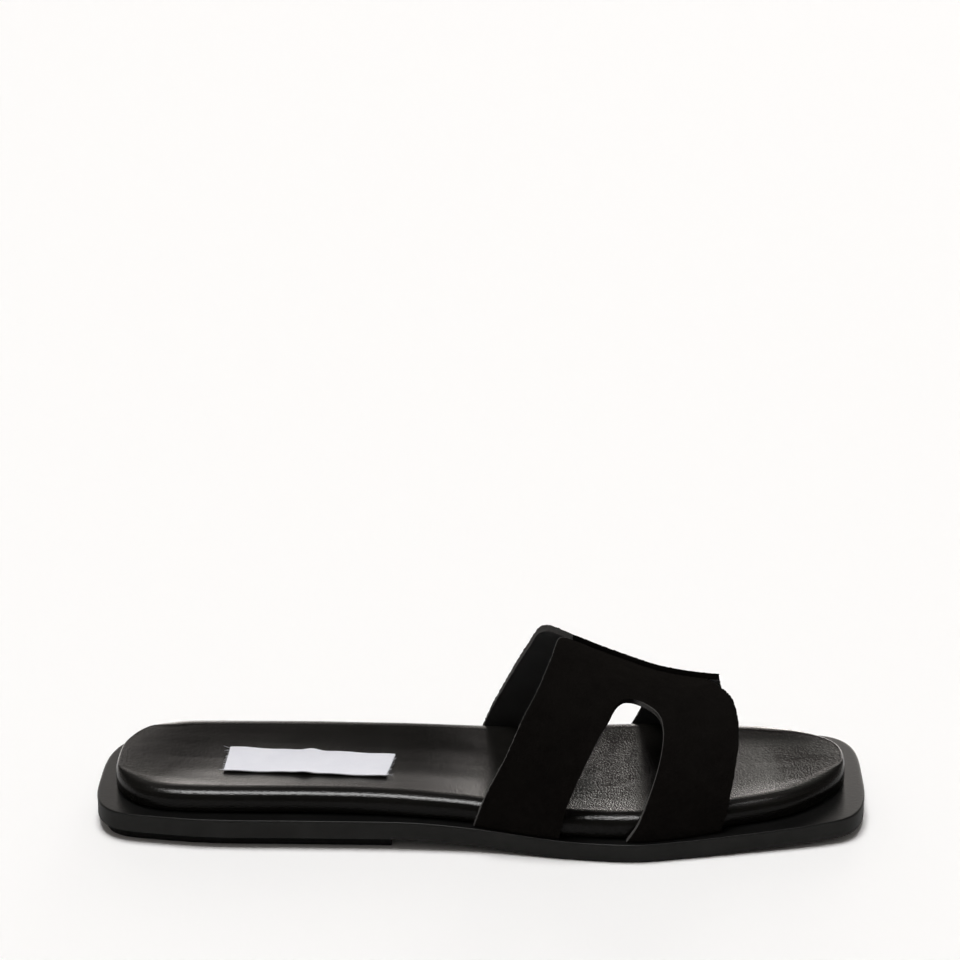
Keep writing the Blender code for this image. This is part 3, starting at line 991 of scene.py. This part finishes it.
def raw_grey_and_painted_highlight(curve_share, share, along, side):
    """How much raw grey and painted highlight the cut edge gets: on a panel's rear edge, and on the front
    half of the near window.
    """
    if along < REAR_EDGE_ENDS and curve_share < 0.5:
        return max(1 - share * ACROSS_STEPS / RAW_AND_HIGHLIGHT_STEPS, 0.0)
    if side > 0:
        return 0.0
    in_front = curve_share > WINDOW_FRONT
    shown = 1.0 if in_front else smooth(along, WINDOW_EDGE_BEGINS, WINDOW_EDGE_FULL)
    return shown * max(1 - (1 - share) * ACROSS_STEPS / RAW_AND_HIGHLIGHT_STEPS, 0.0)


def arch_point(along, turn, outward, side):
    """A point of the upper's surface: side -1 starts at the little toe's side, +1 at the big toe's."""
    x = along_x(along)
    near = side_y(FOOTBED_SIDES, 1, x) - STRAP_GAP - WALL / 2
    far = side_y(FOOTBED_SIDES, 2, x) + STRAP_GAP + WALL / 2
    angle = math.pi * turn
    height = read_table(ARCH, 1, along) * STRAP_HEIGHT + outward
    y = (near + far) / 2 + side * ((far - near) / 2 + outward) * math.cos(angle)
    return Vector((x, y, footbed_base(x) + height * math.sin(angle)))


def nap(point):
    """The brushed fibres' unevenness, felt most at the edges."""
    return sum(depth * noise.noise(point / size) for size, depth in NAP)


print("top of the foot, mm:", [round(c / MM, 1) for c in arch_point(REAR_EDGE_ENDS, 0.5, 0.0, -1)])

# %% [markdown]
# A panel starts as a grid on the foot's side. The grid is extruded, which gives the suede side, and the
# band between the two is cut into a few steps. Then every vertex goes to its own depth in the wall. The
# lining keeps its own finish, and what was extruded is suede.

# %% Upper
RUNG_STEPS = 20
SHARP = math.radians(50)


def make_panel(name, rungs, lift_by, side, *nodes):
    """One panel: a grid on its inner surface, extruded out to its suede surface."""
    curve = steps_between(rungs, RUNG_STEPS)
    form = bmesh.new()
    bmesh.ops.create_grid(form, x_segments=RIBBON_STEPS, y_segments=ACROSS_STEPS, size=1.0)
    spot = form.verts.layers.float_vector.new("spot")
    level = form.verts.layers.float.new("level")
    raw = form.verts.layers.float.new("raw")
    border = form.verts.layers.float.new("border")
    for vertex in form.verts:
        way = (vertex.co.x + 1) / 2 * (len(curve) - 1)
        index = min(int(way), len(curve) - 2)
        rung = [a + (b - a) * (way - index) for a, b in zip(curve[index], curve[index + 1])]
        share = (vertex.co.y + 1) / 2
        along = rung[0] + (rung[2] - rung[0]) * share
        turn = max(rung[1] + (rung[3] - rung[1]) * share, 0.0)
        vertex[spot] = (along, turn, lift_by * smooth(turn, CLIMB_BEGINS, CLIMB_ENDS))
        vertex[raw] = raw_grey_and_painted_highlight((vertex.co.x + 1) / 2, share, along, side)
        vertex[border] = max(1 - share * ACROSS_STEPS, 0.0)
    lining = list(form.faces)
    grown = bmesh.ops.extrude_face_region(form, geom=lining, use_keep_orig=True)["geom"]
    for item in grown:
        if isinstance(item, bmesh.types.BMVert):
            item[level] = 1.0
    through = [edge for edge in form.edges if edge.verts[0][level] != edge.verts[1][level]]
    bmesh.ops.subdivide_edges(form, edges=through, cuts=WALL_CUTS, use_grid_fill=True)
    for face in form.faces:
        inside = all(vertex[level] == 0 for vertex in face.verts)
        face.material_index = LINING_SLOT if inside else SUEDE_SLOT
    for vertex in form.verts:
        along, turn, raised = vertex[spot]
        outward = raised + (vertex[level] - 0.5) * WALL
        plain = arch_point(along, turn, outward, side)
        vertex.co = arch_point(along, turn, outward + nap(plain) * vertex[level], side)
        if vertex[border] > 0:
            fray = noise.noise_vector(plain / FRAY_GRAIN) * FRAY * vertex[border]
            vertex.co += Vector((fray.x, 0, fray.z))
    bmesh.ops.recalc_face_normals(form, faces=form.faces)
    panel = add_piece(name, form, [SUEDE, LINING], "suede", *nodes)
    panel.data.set_sharp_from_angle(angle=SHARP)
    return panel


# noise_vector starts from the clock unless it is seeded, and the fray has to be the same each run
noise.seed_set(FRAY_SEED)
make_panel("under_panel", UNDER_PANEL, 0.0, -1, "upper")
make_panel("over_panel", OVER_PANEL, WALL - OVERLAY_SINK, 1, "upper")

# %% [markdown]
# The label is a short length of woven tape, stitched down flat and left blank. Its long edges are
# folded under and bulge a little at the middle, and its short ends are raw, so warp threads stick out.

# %% The label's sizes and its finish
LABEL_LENGTH = 0.0560
LABEL_WIDTH = 0.0180
LABEL_THICKNESS = 0.0005
LABEL_ALONG = 0.2735
LABEL_ACROSS = -0.032
LABEL_TURN = math.radians(-5.4)
LABEL_STEPS = (140, 48)
THREADS_AN_END = 26
THREAD = 0.00007
THREAD_SIDES = 5
THREAD_LENGTHS = (0.4, 1.2)
THREAD_SWING = 0.6
THREAD_RISE = (-0.05, 0.30)
THREAD_SEED = 7
WARP_COUNT = 230
WEFT_COUNT = 64
LONG_THREADS = [
    # end, place across it, length in mm
    (0, 0.97, 2.6),
    (0, 0.90, 2.2),
    (1, 0.03, 3.2),
    (1, 0.06, 2.6),
    (1, 0.12, 2.8),
    (0, 0.04, 2.0),
]


def tape_finish():
    finish = Finish("woven label", Specular_IOR_Level=0.2, Roughness=0.85, Sheen_Weight=0.1)
    where = finish.node("ShaderNodeUVMap", {"uv_map": "tape"})["UV"]
    parts = finish.node("ShaderNodeSeparateXYZ", None, {0: where})
    along, across = parts["X"], parts["Y"]
    warp, weft = (
        finish.node("ShaderNodeMath", {"operation": "SINE"}, {0: way * (count * math.tau)})["Value"]
        for way, count in ((along, WARP_COUNT), (across, WEFT_COUNT)))
    weave = warp * weft * 0.5 + 0.5
    cloud = finish.noise(0.006, 2.0, 0.5)
    tone = finish.blend(cloud, colour(0.79, 0.80, 0.865), colour(0.87, 0.88, 0.93))
    finish.set("Base Color", finish.blend(weave * 0.22, tone, colour(0.52, 0.53, 0.60)))
    finish.set("Normal", finish.bump(weave, 0.00006))
    return finish.material


TAPE = tape_finish()
print("finish:", TAPE.name)

# %% [markdown]
# A point of the label is worked out from how far along and across the tape it is. It lies on the
# leather, so it asks for the footbed's height there, and its long edges curl up a little.

# %% The label's surface
LABEL_CLEARANCE = 0.0002
LABEL_TAPER = 0.018
BULGE_AT, BULGE_REACH, BULGE_WIDTH = 0.50, 0.055, 0.05
WOBBLE, WOBBLE_WAVES = 0.02, 9
EDGE_CURL, CURL_WAVES = 0.00035, 21
BULGE_CURL = 0.0007


def footbed_top(x, y):
    """Height of the dished leather, worked out as the rings were."""
    rim = FOOTBED_WALL[-1][1] * FOOTBED_HEIGHT
    return footbed_base(x) + rim - dish(x, y) + slack_leather(x, y) + lean(x, y) - crease_depth(x, y)


def label_point(u, v, lift_by=0.0):
    """A point of the label: u along and v across it, each from 0 to 1."""
    bulge = math.exp(-((u - BULGE_AT) / BULGE_REACH) ** 2)
    side = 2 * v - 1
    east = (u - 0.5) * LABEL_LENGTH * (1 + LABEL_TAPER * side)
    wide = 1 + BULGE_WIDTH * bulge + WOBBLE * math.sin(u * WOBBLE_WAVES + 1)
    north = side * LABEL_WIDTH / 2 * wide
    x = along_x(LABEL_ALONG) + east * math.cos(LABEL_TURN) - north * math.sin(LABEL_TURN)
    y = LABEL_ACROSS * BALL_WIDTH + east * math.sin(LABEL_TURN) + north * math.cos(LABEL_TURN)
    edge = abs(side) ** 6
    curl = EDGE_CURL * edge * (0.6 + 0.4 * math.sin(u * CURL_WAVES))
    curl += BULGE_CURL * bulge * abs(side) ** 3
    return Vector((x, y, footbed_top(x, y) + LABEL_CLEARANCE + curl + lift_by))


print("middle of the label, mm:", [round(c / MM, 1) for c in label_point(0.5, 0.5)])

# %% [markdown]
# The tape is a grid on that surface, extruded to its thickness. The threads are drawn by chance from a
# fixed start, so they fall the same way each time, and a few longer ones are listed.

# %% Label and threads


def make_label():
    form = bmesh.new()
    bmesh.ops.create_grid(form, x_segments=LABEL_STEPS[0], y_segments=LABEL_STEPS[1], size=1.0)
    layer = form.loops.layers.uv.new("tape")
    spot = form.verts.layers.float_vector.new("spot")
    for vertex in form.verts:
        vertex[spot] = ((vertex.co.x + 1) / 2, (vertex.co.y + 1) / 2, 0)
        vertex.co = label_point(vertex[spot].x, vertex[spot].y)
    for face in form.faces:
        for loop in face.loops:
            loop[layer].uv = loop.vert[spot].xy
    sheet = list(form.faces)
    grown = bmesh.ops.extrude_face_region(form, geom=sheet, use_keep_orig=True)["geom"]
    for vertex in (item for item in grown if isinstance(item, bmesh.types.BMVert)):
        vertex.co = label_point(vertex[spot].x, vertex[spot].y, LABEL_THICKNESS)
    bmesh.ops.recalc_face_normals(form, faces=form.faces)
    return add_piece("label_tape", form, [TAPE], "woven_label", "label")


def make_threads():
    """Loose warp threads at the tape's two raw ends, each a thin cone."""
    form = bmesh.new()
    chance = random.Random(THREAD_SEED)
    rows = [(end, chance.random(), chance.uniform(*THREAD_LENGTHS))
            for end in (0, 1) for _ in range(THREADS_AN_END)]
    rows += LONG_THREADS
    for end, v, length in rows:
        start = label_point(end, v, LABEL_THICKNESS * 0.6)
        heading = LABEL_TURN + (0 if end else math.pi) + chance.uniform(-THREAD_SWING, THREAD_SWING)
        rise = chance.uniform(*THREAD_RISE)
        way = Vector((math.cos(heading), math.sin(heading), rise)).normalized()
        turned = way.to_track_quat("Z", "Y").to_matrix().to_4x4()
        place = Matrix.Translation(start + way * length * MM * 0.4) @ turned
        bmesh.ops.create_cone(form, cap_ends=True, segments=THREAD_SIDES, radius1=THREAD,
                              radius2=THREAD * 0.5, depth=length * MM, matrix=place)
    return add_piece("label_threads", form, [TAPE], "woven_label")


label = make_label()
make_threads()
